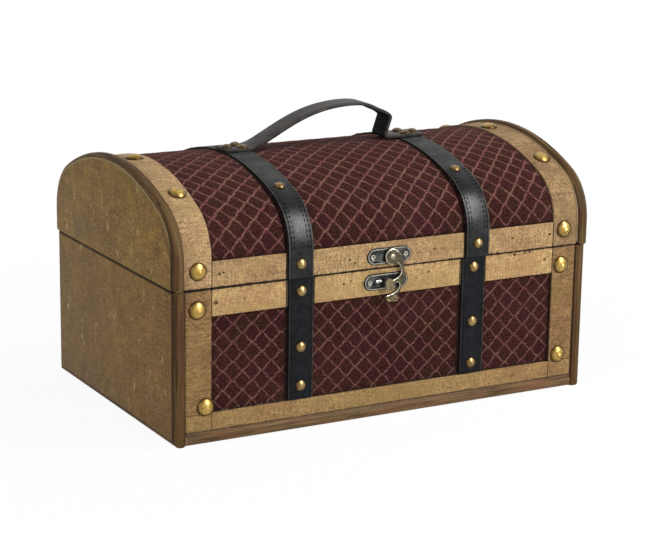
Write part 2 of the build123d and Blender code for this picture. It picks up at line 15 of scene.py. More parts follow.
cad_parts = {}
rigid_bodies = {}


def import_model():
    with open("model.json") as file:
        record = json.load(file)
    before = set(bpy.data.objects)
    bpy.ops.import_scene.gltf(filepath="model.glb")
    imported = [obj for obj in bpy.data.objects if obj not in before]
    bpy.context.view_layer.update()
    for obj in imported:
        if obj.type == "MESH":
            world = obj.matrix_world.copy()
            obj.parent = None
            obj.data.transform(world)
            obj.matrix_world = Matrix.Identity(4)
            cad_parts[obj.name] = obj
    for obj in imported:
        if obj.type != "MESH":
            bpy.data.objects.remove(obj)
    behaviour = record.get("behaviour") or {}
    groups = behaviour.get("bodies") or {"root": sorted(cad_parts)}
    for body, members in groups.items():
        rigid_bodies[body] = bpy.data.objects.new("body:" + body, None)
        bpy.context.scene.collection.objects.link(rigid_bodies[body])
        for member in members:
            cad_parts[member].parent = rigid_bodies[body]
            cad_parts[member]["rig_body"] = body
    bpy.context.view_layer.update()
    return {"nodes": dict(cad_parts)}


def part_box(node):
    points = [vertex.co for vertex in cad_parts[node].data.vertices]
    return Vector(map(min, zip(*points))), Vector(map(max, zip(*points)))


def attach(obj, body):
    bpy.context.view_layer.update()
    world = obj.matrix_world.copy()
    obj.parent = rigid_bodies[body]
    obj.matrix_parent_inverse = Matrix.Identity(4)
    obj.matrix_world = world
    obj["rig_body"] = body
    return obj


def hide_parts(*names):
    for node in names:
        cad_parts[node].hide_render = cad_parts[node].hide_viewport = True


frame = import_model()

mm = 0.001

# %% [markdown]
# ## Camera
# The chest was photographed from the left and a little above, with a long lens. These angles and the
# distance came from the outline of the box and the places of its nails, so the same lens and place give the
# same picture. The small roll is the photographer's. A matrix made of the camera's right, up and back
# directions places it exactly.


# %% Camera
def linked(name, data):
    """A new object in the scene."""
    made = bpy.data.objects.new(name, data)
    bpy.context.scene.collection.objects.link(made)
    return made


azimuth, elevation, roll = (math.radians(angle) for angle in (-29.0699, 14.3401, 0.8628))
distance = 1396.81 * mm
target = Vector((4.236, 0, 70.257)) * mm
back = Vector((
    math.sin(azimuth) * math.cos(elevation),
    -math.cos(azimuth) * math.cos(elevation),
    math.sin(elevation),
))
level_right = Vector((math.cos(azimuth), math.sin(azimuth), 0))
level_up = back.cross(level_right)
right = level_right * math.cos(roll) + level_up * math.sin(roll)
up = level_up * math.cos(roll) - level_right * math.sin(roll)
camera_data = bpy.data.cameras.new("camera")
camera_data.lens = 115.44
camera_data.clip_start = 0.05
camera_data.clip_end = 20
camera = linked("camera", camera_data)
turned = Matrix((right, up, back)).transposed().to_4x4()
camera.matrix_world = Matrix.Translation(target + back * distance) @ turned
bpy.context.scene.camera = camera
bpy.context.scene.view_settings.view_transform = "Standard"
print("camera stands at", [round(v, 3) for v in camera.location])

# %% [markdown]
# ## A small language for finishes
# A finish is a tree of shader nodes. Written out node by node it is hard to read, so a wire is wrapped in a
# class whose operators add Math nodes: `1 - mask * 0.5` then means what it says. Three words for masks do
# the rest: `between` rises along a number, `until` falls, and `band` does both.


# %% Wires
class Wire:
    """One output socket of a finish, used in sums like a number."""

    def __init__(self, finish, socket):
        self.finish = finish
        self.socket = socket

    def __add__(self, other):
        return self.finish.maths("ADD", self, other)

    def __sub__(self, other):
        return self.finish.maths("SUBTRACT", self, other)

    def __rsub__(self, other):
        return self.finish.maths("SUBTRACT", other, self)

    def __mul__(self, other):
        return self.finish.maths("MULTIPLY", self, other)

    def __abs__(self):
        return self.finish.maths("ABSOLUTE", self)

    __radd__ = __add__
    __rmul__ = __mul__

    def between(self, low, high):
        """0 up to low, 1 from high on, and a straight slope between them."""
        return self.finish.maths("MULTIPLY", self - low, 1 / (high - low), clamp=True)

    def until(self, low, high):
        """1 up to low, 0 from high on."""
        return 1 - self.between(low, high)

    def band(self, start, full, fading, end):
        """1 from full to fading, and 0 up to start and from end on."""
        return self.between(start, full) * self.until(fading, end)


print("wires take + - * and abs()")

# %% [markdown]
# A finish makes its own nodes, all by one method. Colours go through Mix nodes, because a Math node would
# turn them grey, and they are laid on as a painter does: a ground colour first, then one coat after the
# other, each with its share.


# %% Finishes
class Finish:
    """A material, or the world, whose nodes are made by node() and by sums of wires."""

    def __init__(self, name, world=False):
        self.owner = (bpy.data.worlds if world else bpy.data.materials).new(name)
        self.owner.use_nodes = True
        self.tree = self.owner.node_tree
        self.tree.nodes.clear()
        self.ending = "ShaderNodeOutputWorld" if world else "ShaderNodeOutputMaterial"

    def node(self, kind, settings=None, sockets=None, out=0):
        """Any node: its settings first, then its sockets. Several outs give several wires."""
        made = self.tree.nodes.new(kind)
        for key, value in (settings or {}).items():
            setattr(made, key, value)
        for key, value in (sockets or {}).items():
            socket = made.inputs[key]
            if isinstance(value, Wire):
                self.tree.links.new(value.socket, socket)
            elif isinstance(value, tuple) and len(value) < len(socket.default_value):
                socket.default_value = (*value, 1.0)
            else:
                socket.default_value = value
        if isinstance(out, tuple):
            return [Wire(self, made.outputs[key]) for key in out]
        return Wire(self, made.outputs[out])

    def maths(self, operation, *values, clamp=False):
        settings = {"operation": operation, "use_clamp": clamp}
        return self.node("ShaderNodeMath", settings, dict(enumerate(values)))

    def largest(self, first, *others):
        for other in others:
            first = self.maths("MAXIMUM", first, other)
        return first

    def place(self, scale=(1, 1, 1), turn=(0, 0, 0)):
        """Object coordinates in millimetres, turned and multiplied by scale."""
        spot = self.node("ShaderNodeTexCoord", out="Object")
        per_mm = tuple(s / mm for s in scale)
        return self.node("ShaderNodeMapping", sockets={"Vector": spot, "Rotation": turn, "Scale": per_mm})

    def split(self, vector):
        """The three numbers of a vector."""
        return self.node("ShaderNodeSeparateXYZ", sockets={"Vector": vector}, out=(0, 1, 2))

    def noise(self, vector, scale, detail=3, roughness=0.5, distortion=0.0):
        return self.node("ShaderNodeTexNoise", sockets={
            "Vector": vector, "Scale": scale, "Detail": detail,
            "Roughness": roughness, "Distortion": distortion,
        })

    def streaks(self, scale, detail=3, roughness=0.5, distortion=0.0, turn=(0, 0, 0)):
        """Noise stretched along the axes: the smaller a number of scale, the longer the streaks that way."""
        return self.noise(self.place(scale, turn), 1.0, detail, roughness, distortion)

    def mix(self, share, first, second):
        return self.node("ShaderNodeMix", {"data_type": "RGBA"}, {0: share, 6: first, 7: second}, out=2)

    def layers(self, colour, *coats):
        """A ground colour under coats of other colours, each given as (share, colour)."""
        for share, coat in coats:
            colour = self.mix(share, colour, coat)
        return colour

    def surface(self, colour, roughness, height=None, depth=0.0, constants=None):
        """The material with its main shader, which a height bumps by up to depth mm."""
        sockets = {"Base Color": colour, "Roughness": roughness, **(constants or {})}
        if height is not None:
            bump = {"Height": height, "Distance": depth * mm}
            sockets["Normal"] = self.node("ShaderNodeBump", sockets=bump)
        return self.end(self.node("ShaderNodeBsdfPrincipled", sockets=sockets))

    def end(self, shader):
        ending = self.tree.nodes.new(self.ending)
        self.tree.links.new(shader.socket, ending.inputs["Surface"])
        print("finish:", self.owner.name)
        return self.owner


# %% [markdown]
# ## Floor and backdrop
# A shop photograph like this one is taken on white paper under large soft lamps. The paper here is a plain
# pale floor. Light Path shows it whiter than it is lit, to the camera and in reflections, so the wood
# needn't be lit any harder. What is left of its own light keeps the chest's soft shadow. The world does the
# same.


# %% Floor and world
def seen_white(finish, lit, white, share=1.0):
    """A shader that is white to the camera, mirrors and glass, to a share, and as it is lit to all else."""
    ways = ("Is Camera Ray", "Is Glossy Ray", "Is Transmission Ray")
    camera_ray, mirror_ray, glass_ray = finish.node("ShaderNodeLightPath", out=ways)
    seen = camera_ray + mirror_ray + glass_ray
    return finish.node("ShaderNodeMixShader", sockets={0: seen * share, 1: lit, 2: white})


pure_white = (1.0, 1.0, 1.0)
paper = Finish("paper")
matt_paper = paper.node("ShaderNodeBsdfDiffuse", sockets={"Color": (0.85, 0.85, 0.85)})
glowing_paper = paper.node("ShaderNodeEmission", sockets={"Color": pure_white, "Strength": 1.0})
paper_spot = paper.node("ShaderNodeTexCoord", out="Object")
far_off = paper.node("ShaderNodeVectorMath", {"operation": "LENGTH"}, {0: paper_spot}, out="Value")
paper.end(seen_white(paper, matt_paper, glowing_paper, 0.94 + far_off.between(0.2, 0.45) * 0.06))

floor_mesh = bmesh.new()
bmesh.ops.create_grid(floor_mesh, x_segments=1, y_segments=1, size=4.0)
bmesh.ops.translate(floor_mesh, verts=floor_mesh.verts, vec=(0, 0, -0.2 * mm))
floor_data = bpy.data.meshes.new("floor")
floor_mesh.to_mesh(floor_data)
floor_mesh.free()
floor_data.materials.append(paper.owner)
floor = linked("floor", floor_data)

studio = Finish("studio", world=True)
room_light = studio.node("ShaderNodeBackground", sockets={"Color": pure_white, "Strength": 0.27})
white_wall = studio.node("ShaderNodeBackground", sockets={"Color": pure_white, "Strength": 1.0})
bpy.context.scene.world = studio.end(seen_white(studio, room_light, white_wall))

# %% [markdown]
# ## Softboxes
# Width is what makes a lamp's shadow soft and its highlight broad. A smooth black strap mirrors every lamp,
# and the photograph shows one highlight there, so one lamp only lights the chest and another is only
# mirrored.


# %% Softboxes
def softbox(name, place, width, height, power, lights=True, mirrored=True):
    """An area lamp, its place and size in mm, turned towards the chest. It may only light or be mirrored."""
    lamp = bpy.data.lights.new(name, "AREA")
    lamp.shape = "RECTANGLE"
    lamp.size = width * mm
    lamp.size_y = height * mm
    lamp.energy = power
    holder = linked(name, lamp)
    holder.location = Vector(place) * mm
    holder.rotation_mode = "QUATERNION"
    holder.rotation_quaternion = (chest_middle - holder.location).to_track_quat("-Z", "Y")
    holder.visible_diffuse = lights
    holder.visible_glossy = mirrored


chest_middle = Vector((0, 0, 80)) * mm
softbox("key_lamp", (690, -1380, 760), 480, 640, 17)
softbox("left_lamp", (-1400, -500, 500), 700, 700, 8.5)
softbox("top_lamp", (690, -360, 1280), 320, 320, 11, mirrored=False)
softbox("gleam_lamp", (690, -966, 1164), 480, 600, 22, lights=False)
print(len(bpy.data.lights), "softboxes round the chest")

# %% [markdown]
# ## Stained boards
# The end boards and the bottom are stained solid wood: olive brown with dark clouds, a faint grain from front
# to back and a few pale scuffs where the stain rubbed off. Their rounded rims took the stain darker and in
# streaks. The face of a board lies farther out than its rim, so the distance from the middle tells the two
# apart. The joints are dark, and the lid's left rim has a nick. The groove between face and rim and the seam
# under the lid are darkened with painted shade, the seam most at the front.

# %% Stained boards
nick_place = (-149.5, -70.3, 147.8)


def board_finish(name, face, seam, reddish, rim_light, blush):
    """Stained end board: its field stands face mm from the middle, its cut edge at the seam under the lid is
    at height seam, and blush is how reddish the field is. The groove round the field and the seam get painted
    shade."""
    wood = Finish(name)
    spot = wood.place()
    x, y, z = wood.split(spot)
    across = abs(x)
    from_seam = abs(z - seam)
    clouds = wood.noise(spot, 0.036, 6, 0.7, 0.9).between(0.43, 0.57)
    patches = wood.streaks((0.02, 0.04, 0.07), 4, 0.6).between(0.47, 0.58)
    olive = wood.streaks((0.02, 0.02, 0.014)).between(0.46, 0.58)
    blotch = wood.noise(spot, 0.15, 5, 0.75, 0.4).between(0.44, 0.58)
    lines = wood.streaks((0.3, 0.05, 0.8), 4, 0.7).between(0.42, 0.6)
    fine = wood.streaks((1.1, 0.5, 0.7), 4, 0.75).between(0.4, 0.6)
    scuffs = wood.streaks((0.12, 0.13, 0.07), 5, 0.8).between(0.595, 0.66)
    field = wood.layers(
        (0.064, 0.031, 0.009),
        (clouds, (0.24, 0.135, 0.034)),
        (patches * 0.5 + blush, reddish),
        (olive * (0.5 - blush * 0.8), (0.178, 0.122, 0.03)),
        (blotch * 0.58, (0.05, 0.025, 0.012)),
        (lines * 0.46, (0.052, 0.026, 0.009)),
        (fine * 0.5, (0.37, 0.232, 0.072)),
        (scuffs * 0.75, (0.46, 0.345, 0.17)),
        (y.until(-90, -66) * blush, (0.075, 0.04, 0.018)),
    )
    streaks = wood.streaks((0.8, 0.02, 0.02), 4, 0.7)
    rusty = wood.streaks((0.5, 0.014, 0.014)).between(0.48, 0.58)
    rim_colour = wood.layers(
        (0.04, 0.021, 0.007),
        (streaks.between(0.44, 0.57), rim_light),
        (rusty * 0.5, (0.075, 0.029, 0.012)),
    )
    rim = across.until(face - 0.35, face - 0.15) * from_seam.between(0.6, 0.9)
    top = z.between(120, 132)
    # Painted shade in the groove between the face and the rim.
    groove_shade = across.band(face - 1.0, face - 0.55, face - 0.22, face - 0.1) * (1 - top) * z.between(2.5, 4)
    # A pale line along the edge of the field, only over the top of the arch.
    pale_edge_line = across.band(face - 0.52, face - 0.42, face - 0.1, face - 0.03) * top
    joint = across.until(face - 7.6, face - 7.0) * abs(y).between(84, 86)
    # Painted shade in the seam under the lid, strongest towards the front.
    seam_shade = from_seam.until(0.2, 0.6) * (1 - y.between(-80, 50) * 0.9)
    apart = {0: spot, 1: nick_place}
    from_nick = wood.node("ShaderNodeVectorMath", {"operation": "DISTANCE"}, apart, out="Value")
    nick = (from_nick + (streaks - 0.5) * 6).until(1.0, 2.6)
    colour = wood.layers(
        field,
        (rim, rim_colour),
        (groove_shade * 0.85, (0.026, 0.013, 0.006)),
        (pale_edge_line * 0.5, (0.42, 0.31, 0.15)),
        (joint * 0.8, (0.018, 0.01, 0.006)),
        (seam_shade * 0.9, (0.022, 0.013, 0.008)),
        (nick * 0.85, (0.02, 0.014, 0.01)),
    )
    height = lines * 0.7 + fine * 0.6
    return wood.surface(colour, 0.55 + fine * 0.1, height, 0.09, {"Specular IOR Level": 0.1})


base_board = board_finish("base_board", 150, 97.2, (0.158, 0.081, 0.046), (0.118, 0.068, 0.022), 0.38)
lid_board = board_finish("lid_board", 151, 97.6, (0.142, 0.08, 0.034), (0.13, 0.082, 0.03), 0.1)

# %% [markdown]
# The bottom board shows only its rounded front edge, brown with reddish patches, its grain along the chest.
# The walls and the lid's shell are plywood, bare on the inside: pale, with fine dark pores.


# %% Bottom board and plywood
def bottom_finish():
    wood = Finish("bottom_board")
    lines = wood.streaks((0.03, 0.7, 0.7), 4, 0.65).between(0.38, 0.62)
    patches = wood.streaks((0.04, 0.12, 0.12), 4, 0.6).between(0.45, 0.58)
    colour = wood.layers(
        (0.046, 0.024, 0.01),
        (lines, (0.165, 0.098, 0.038)),
        (patches * 0.65, (0.15, 0.06, 0.03)),
    )
    return wood.surface(colour, 0.55, lines, 0.08, {"Specular IOR Level": 0.14})


def plywood_finish():
    wood = Finish("panel_wood")
    lines = wood.streaks((0.02, 0.5, 0.5), 4, 0.6).between(0.35, 0.65)
    pores = wood.streaks((0.3, 2.5, 2.5), 2).between(0.6, 0.7)
    colour = wood.layers(
        (0.36, 0.25, 0.145),
        (lines, (0.48, 0.35, 0.215)),
        (pores * 0.4, (0.24, 0.155, 0.085)),
    )
    return wood.surface(colour, 0.65, lines, 0.05)


bottom_board = bottom_finish()
panel_wood = plywood_finish()

# %% [markdown]
# ## Strips
# The strips are pale, open-grained wood, honey tan. Their grain runs along the chest on every strip, so it
# crosses the upright and the arched ones as fine short ripples. The level strips also show a fine upright
# crackle in the varnish, like linen. A pinkish brown and a greenish tint drift over both. The upright and
# bottom strips are darker, partly in the tone of their wood and partly as painted shade low on the wall. The
# joints are dark. Painted shade darkens the seam under the lid to a black line, and beside each strap it lays
# a wide dark band on the left and a thin one on the right.

# %% Strips
half_strap = 8.65
base_strap_middle = 62.9
lid_strap_middle = 64.3
lid_seam_height = 97.4
bottom_strip_top = 19.0
upright_strip_inside = 124.25


def tinted(colour, *shares):
    """A colour with its red, green and blue scaled, to name a darker or warmer neighbour of it."""
    return tuple(v * k for v, k in zip(colour, shares * (3 // len(shares))))


def from_strap(finish, x, middle):
    """x measured from the middle line of the strap on the same side of the chest."""
    return x - finish.maths("SIGN", x) * middle


def strip_finish(name, crackle, light, dark, ripple=0.75, strap=None, shade_gap=0.0):
    """Tan strip with so much crackle and ripple. One that is cut round the straps with their middle lines at
    strap gets painted shadow beside them: a dark band on their left, as many mm wide as the last argument
    says, and a thin one on their right."""
    wood = Finish(name)
    spot = wood.place()
    x, _, z = wood.split(spot)
    ripples = wood.streaks((0.085, 0.62, 0.62), 5, 0.78, 0.6).between(0.43, 0.57)
    fibres = wood.streaks((0.25, 1.2, 1.2), 3, 0.7).between(0.42, 0.58)
    sand = wood.noise(spot, 0.85, 4, 0.8).between(0.44, 0.58)
    pale = wood.streaks((0.5, 0.75, 0.75), 3, 0.75, turn=(0, 0, 1.1)).between(0.5, 0.62)
    threads = wood.streaks((0.95, 0.12, 0.12), 4, 0.75).between(0.49, 0.58)
    drift = wood.streaks((0.045, 0.05, 0.05), 4, 0.6).between(0.46, 0.6)
    green = wood.streaks((0.021, 0.04, 0.04), 2).between(0.5, 0.62)
    specks = wood.streaks((0.4, 0.65, 0.65), 4, 0.78).between(0.585, 0.66)
    chips = wood.streaks((0.28, 0.5, 0.5), 4, 0.7).between(0.55, 0.6)
    butt = abs(z - bottom_strip_top).until(0.12, 0.4) * abs(x).between(124, 125)
    ragged = (wood.streaks((0.22, 0.1, 0.1), 4, 0.7) - 0.5) * 1.4
    from_seam = abs(z - lid_seam_height) - ragged + x.between(-140, 20) * 0.3
    joint = abs(abs(x) - upright_strip_inside).until(0.15, 0.45) * (1 - z.between(112, 116) * 0.6)
    foot = (z + (chips - 0.5) * 0.6).until(7.9, 8.5)
    colour = wood.layers(
        tinted(light, 1.14),
        (ripples * ripple, tinted(dark, 0.82)),
        (fibres * 0.3, tinted(light, 1.25)),
        (sand * 0.6, tinted(dark, 0.86, 0.79, 0.71)),
        (pale * 0.6, tinted(light, 1.55, 1.48, 1.3)),
        (threads * crackle, tinted(dark, 0.64)),
        (drift * 0.42, tinted(dark, 1.2, 0.98, 1.02)),
        (green * 0.34, tinted(light, 0.74, 0.78, 0.6)),
        (specks * 0.7, tinted(dark, 0.36)),
        (butt * 0.75, (0.022, 0.013, 0.008)),
        (chips * from_seam.until(1.0, 2.4) * 0.6, (0.05, 0.028, 0.015)),
        # Painted shade: a black line along the seam between lid and base, wider on the left.
        (from_seam.until(0.7, 1.05) * 0.95, (0.009, 0.005, 0.003)),
        (joint * 0.85, (0.02, 0.012, 0.007)),
        (foot * 0.8, (0.018, 0.01, 0.006)),
    )
    if strap:
        off = from_strap(wood, x, strap)
        # Painted shadow beside the strap: a wide band on its left, a thin one on its right.
        left_strap_shadow = (off + half_strap).band(-shade_gap - 0.3, -shade_gap, 0.2, 0.5)
        right_strap_shadow = (off - half_strap).band(-0.5, -0.2, 0.3, 0.7)
        colour = wood.layers(
            colour,
            (left_strap_shadow * 0.92, (0.01, 0.007, 0.005)),
            (right_strap_shadow * 0.8, (0.02, 0.013, 0.009)),
        )
    height = fibres * 0.5 - ripples * 0.8 - threads * crackle - sand * 0.6
    return wood.surface(colour, 0.56 + ripples * 0.12, height, 0.16, {"Specular IOR Level": 0.15})


# The upright strips are darker: their wood's tone, and painted shade low on the wall.
upright_strip = strip_finish("upright_strip", 0.08, (0.312, 0.186, 0.076), (0.112, 0.06, 0.025))
level_strip = strip_finish(
    "level_strip", 0.5, (0.54, 0.362, 0.162), (0.275, 0.16, 0.072), 0.45, base_strap_middle, 2.2
)
lid_strip = strip_finish(
    "lid_strip", 0.5, (0.49, 0.328, 0.156), (0.215, 0.124, 0.06), 0.5, lid_strap_middle, 0.9
)
# The bottom strip is darker too: its wood's tone, and painted shade low on the wall.
bottom_strip = strip_finish("bottom_strip", 0.4, (0.36, 0.23, 0.094), (0.18, 0.102, 0.042), 0.5)
left_arch_strip = strip_finish("left_arch_strip", 0.1, (0.52, 0.345, 0.178), (0.205, 0.12, 0.062))
right_arch_strip = strip_finish("right_arch_strip", 0.1, (0.385, 0.25, 0.125), (0.125, 0.074, 0.036))

# %% [markdown]
# ## Cloth
# The fields are covered with a dark burgundy cloth whose weave raises a net of mauve threads in diamonds
# about 13 mm wide. The pattern follows the cloth over the dome, so it reads a UV map laid out in cells
# instead of the object's coordinates. Along each slant one number counts the cells; near its half values runs
# a thread. A sine of the other slant makes the threads sway a little between their crossings. Along strips
# and straps the cloth is darkened with painted shade, and a few pale fibres show at its foot.


# %% Cloth finish
def cloth_finish(name, foot, head, end, strap, shade_gap):
    """Burgundy cloth of one field, with painted shade towards the strips at heights foot and head and at end
    mm from the middle, and beside the straps with their middle lines at strap."""
    cloth = Finish(name)
    laid = cloth.node("ShaderNodeUVMap", {"uv_map": "cells"})
    u, v, _ = cloth.split(laid)
    jog = (cloth.noise(laid, 4.3, 3, 0.7) - 0.5) * 0.26
    rising = u + v + (cloth.noise(laid, 0.9, 2) - 0.5) * 0.2 + jog
    falling = u - v + (cloth.noise(laid, 1.7, 2) - 0.5) * 0.16 - jog
    turn = 2 * math.pi
    rising_bent = rising + cloth.maths("SINE", falling * turn) * 0.022
    falling_bent = falling + cloth.maths("SINE", rising * turn) * 0.03
    x, _, z = cloth.split(cloth.place())
    top = z.between(112, 150)
    from_rising, from_falling = (
        abs(cloth.maths("FRACT", slant) - 0.5) - top * 0.014 for slant in (rising_bent, falling_bent)
    )
    wear = cloth.noise(laid, 6.5, 4, 0.8).between(0.4, 0.6)
    thread = cloth.largest(
        from_rising.until(0.008, 0.094),
        from_falling.until(0.006, 0.088) * (0.68 + wear * 0.32),
    )
    cell = cloth.node("ShaderNodeCombineXYZ", sockets={
        0: cloth.maths("FLOOR", rising_bent + 0.5), 1: cloth.maths("FLOOR", falling_bent + 0.5),
    })
    tint = cloth.node("ShaderNodeTexWhiteNoise", {"noise_dimensions": "2D"}, {"Vector": cell})
    stretched = cloth.node("ShaderNodeMapping", sockets={"Vector": laid, "Scale": (4, 10, 1)})
    ribs = cloth.noise(stretched, 1.0, 3, 0.6).between(0.4, 0.6)
    fuzz = cloth.noise(laid, 9.5, 4, 0.8).between(0.43, 0.58)
    shade = cloth.noise(laid, 0.22).between(0.4, 0.6)
    hue = cloth.noise(laid, 1.1).between(0.4, 0.6)
    mauve = cloth.mix(hue, (0.228, 0.082, 0.084), (0.262, 0.132, 0.096))
    off = from_strap(cloth, x, strap)
    # Painted shade along the strips and beside the straps, wider on a strap's left.
    edge_shade = cloth.largest(
        z.until(foot, foot + 2.6),
        z.between(head - 1.6, head),
        abs(x).between(end - 1.8, end),
        (off + half_strap).band(-shade_gap - 1.4, -shade_gap, 0, 0.5),
        (off - half_strap).band(-0.5, 0, 0.3, 1.3) * 0.7,
    )
    on_base = z.until(90, 92)
    hem = z.until(foot + 0.9, foot + 1.6) * on_base * (0.35 + 0.65 * x.until(-80, -60))
    corner = z.between(head - 1.5, head - 0.8) * on_base * abs(abs(x) - 120).until(3.5, 4.5)
    fibres = cloth.streaks((0.7, 0.7, 1.6), 3, 0.7).between(0.58, 0.64)
    colour = cloth.layers(
        (0.036, 0.007, 0.0092),
        (tint, (0.033, 0.0135, 0.0065)),
        (ribs * 0.5, (0.078, 0.0185, 0.0165)),
        (shade * 0.3 + top * 0.25, (0.078, 0.026, 0.022)),
        (fuzz * 0.85, (0.005, 0.002, 0.002)),
        (thread * (0.16 + wear * 0.64 + top * 0.17), mauve),
        (edge_shade * 0.82, (0.01, 0.005, 0.005)),
        (fibres * (hem + corner) * 0.8, (0.36, 0.31, 0.25)),
    )
    height = thread * 0.9 + ribs * 0.3 + fuzz * 0.25
    sheen = {"Sheen Weight": 0.05, "Sheen Roughness": 0.4, "Sheen Tint": (0.8, 0.42, 0.38)}
    return cloth.surface(colour, 0.9, height, 0.3, {"Specular IOR Level": 0.06, **sheen})


above_the_lid = 400.0
wall_cloth = cloth_finish("wall_cloth", 19.0, 80.0, 124.3, base_strap_middle, 1.8)
dome_cloth = cloth_finish("dome_cloth", 114.0, above_the_lid, 124.2, lid_strap_middle, 0.8)

# %% [markdown]
# ## Leather and thread
# The straps and the handle are black split leather with a coated, finely grained face and a soft shine. The
# pressed line near each edge and the paler rubbed edge itself are what make a strap read as leather; the edge
# on the right is paler still, a painted highlight on top of the wear. The straps run across the chest, so the
# distance from a strap's middle line is a difference in x alone; for the handle it is a difference in y. High
# on the lid the leather has a grey bloom, dust with a painted sheen, above a band darkened with painted shade
# that stands for a dark reflection.


# %% Leather finish
def leather_finish(
    name, middle, shine, level, tone, rub=0.35, right_edge_highlight=0.0, dusty=0.45, over_lid=0, half=half_strap
):
    """Black leather, half mm from its middle line to its edge. With no middle it runs along the chest."""
    hide = Finish(name)
    spot = hide.place()
    x, y, z = hide.split(spot)
    off = y if middle is None else from_strap(hide, x, middle)
    pebbles = hide.node("ShaderNodeTexVoronoi", sockets={"Vector": spot, "Scale": 1.3})
    creases = hide.noise(spot, 0.3, 5, 0.72, 0.6).between(0.38, 0.62)
    dust = hide.noise(spot, 0.1, 5, 0.7).between(0.45, 0.62)
    scratch = hide.streaks((0.9, 0.25, 0.25), 3, 0.7).between(0.48, 0.58)
    # Grey bloom high on the lid: dust with a painted sheen.
    bloom_and_sheen = z.between(146, 160) * over_lid
    # Painted shade: a band below the bloom, darkened to stand for a dark reflection.
    painted_dark_band = z.band(134, 139, 147, 152) * over_lid
    line = abs(off).band(half - 2.2, half - 1.9, half - 1.6, half - 1.3)
    # Pale edges: wear on both, and a painted highlight added along the right edge.
    edge_wear_and_highlight = abs(off).between(half - 1.1, half - 0.4) * rub + off.between(half - 0.6, half - 0.2) * right_edge_highlight
    colour = hide.layers(
        (0.003, 0.0035, 0.005),
        (creases, tinted((0.012, 0.012, 0.012), *tone)),
        (dust * dusty, tinted((0.034, 0.034, 0.034), *tone)),
        (bloom_and_sheen * dust * 0.8, (0.04, 0.048, 0.04)),
        (painted_dark_band * 0.85, (0.001, 0.001, 0.001)),
        (line * 0.75, (0.001, 0.001, 0.001)),
        (edge_wear_and_highlight * (0.25 + scratch * 0.75), (0.17, 0.15, 0.125)),
    )
    roughness = shine + creases * 0.1 + dust * 0.04 + bloom_and_sheen * 0.3
    height = pebbles * 0.2 + creases * 0.6 - line * 3
    return hide.surface(colour, roughness, height, 0.05, {"Specular IOR Level": level})


lid_strap_leather = leather_finish(
    "lid_strap_leather", lid_strap_middle, 0.26, 0.2, (0.95, 1, 0.93), right_edge_highlight=0.3, over_lid=1
)
base_strap_leather = leather_finish(
    "base_strap_leather", base_strap_middle, 0.36, 0.08, (0.8, 0.88, 1.0), rub=0.2, right_edge_highlight=0.5, dusty=0.1
)
handle_leather = leather_finish("handle_leather", None, 0.36, 0.12, (2.1, 1.7, 1.5), rub=0.1, half=8.5)

# %% [markdown]
# The cut edges of the leather, the thread, the black of painted shade and putty are simpler: two tones of one
# stuff, mixed in clouds.


# %% Edges, thread, painted shade and putty
def plain_finish(
    name, light, dark, scale, roughness, low=0.38, high=0.64, level=0.5, metallic=0.0, depth=0.03
):
    """Two tones of one stuff, mixed by clouds of scale per millimetre."""
    stuff = Finish(name)
    spot = stuff.place()
    clouds = stuff.noise(spot, scale, 4, 0.62).between(low, high)
    fine = stuff.noise(spot, scale * 6, 2)
    constants = {"Metallic": metallic, "Specular IOR Level": level}
    colour = stuff.mix(clouds, light, dark)
    return stuff.surface(colour, roughness + clouds * 0.18, clouds + fine * 0.5, depth, constants)


soot = (0.002, 0.002, 0.002)
# Black for the cut sides of the leather and the handle's flesh side; on the sides of the hook it is painted
# shade.
black_edge_and_shade = plain_finish("leather_black_edge", (0.006, 0.0055, 0.005), soot, 0.5, 0.7, level=0.1)
stitch_thread = plain_finish("stitch_thread", (0.004, 0.004, 0.004), soot, 2.0, 0.8, level=0.05)
# Painted shade: the black in the screw slots, on the sides of the plates and behind the keeper's slot.
painted_shade_black = plain_finish("painted_shade_black", (0.012, 0.011, 0.01), (0.005, 0.005, 0.005), 0.8, 0.6)
dark_putty = plain_finish("dark_putty", (0.15, 0.078, 0.03), (0.05, 0.025, 0.01), 0.9, 0.7, level=0.1)

# %% [markdown]
# ## Metals
# The nails are brass-plated steel, aged: bright gold on top, brown tarnish in clouds. The latch is dark
# antique bronze that was tumbled after plating, so its edges are rubbed pale. On the hinges and the hook
# those edges are the narrow faces that a bevel or an inset makes, and they get a finish of their own. Where
# that pale finish goes only on faces that look one way, on the hook and on top of the keeper's post, it is a
# painted highlight.


# %% Metal finishes
def metal_finish(name, light, dark, scale, roughness, low=0.38, high=0.64, depth=0.02):
    return plain_finish(name, light, dark, scale, roughness, low, high, metallic=1.0, depth=depth)


def nail_finish(name, light, dark, tarnish=0.75):
    """Aged brass: bright on the crown, brown tarnish in spots, and a painted dark reflection where the head
    meets the wood.
    """
    brass = Finish(name)
    spot = brass.place()
    rim = brass.node("ShaderNodeAttribute", {"attribute_name": "rim"}, out="Fac")
    clouds = brass.noise(spot, 0.17, 4, 0.6, 0.5).between(0.42, 0.62)
    spots = brass.noise(spot, 0.42, 4, 0.7).between(0.57, 0.64)
    colour = brass.layers(
        light,
        (clouds * tarnish, dark),
        (spots * 0.85, (0.06, 0.03, 0.009)),
        # Painted reflection: the rim is darkened as if it mirrored a dark room.
        (rim.between(0.55, 0.97), (0.05, 0.026, 0.009)),
    )
    return brass.surface(colour, 0.28 + clouds * 0.08 + spots * 0.2, constants={"Metallic": 1.0})


